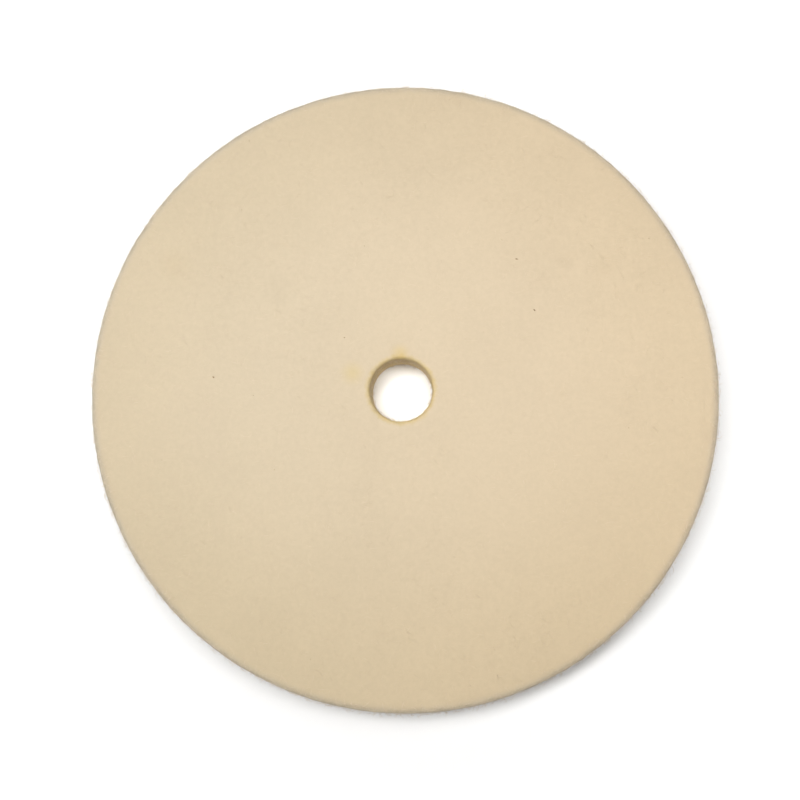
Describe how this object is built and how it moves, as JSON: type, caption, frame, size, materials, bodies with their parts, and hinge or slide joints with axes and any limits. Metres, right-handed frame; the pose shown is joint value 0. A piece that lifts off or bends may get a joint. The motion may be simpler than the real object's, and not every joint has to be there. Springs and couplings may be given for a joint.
{
  "type": "felt polishing wheel",
  "caption": "Flat round polishing wheel of hard pressed wool felt, built up from bonded felt discs, with a plain arbor hole and softly rounded edges.",
  "frame": {"origin": "on the axis of the arbor hole, at the back face, which the wheel rests on when it is laid flat", "axes": "+Z along the arbor hole's axis, from the back face to the front face; +X and +Y are any two directions across the round face"},
  "size_m": [0.127, 0.127, 0.0127],
  "materials": {
    "pressed_wool_felt": "matt, hard pressed wool felt, natural cream, undyed",
    "felt_cement": "satin, dried amber cement"
  },
  "bodies": {
    "root": {"back_felt_ply": "pressed_wool_felt", "back_middle_felt_ply": "pressed_wool_felt", "front_middle_felt_ply": "pressed_wool_felt", "front_felt_ply": "pressed_wool_felt", "back_cement_film": "felt_cement", "middle_cement_film": "felt_cement", "front_cement_film": "felt_cement"}
  },
  "joints": []
}
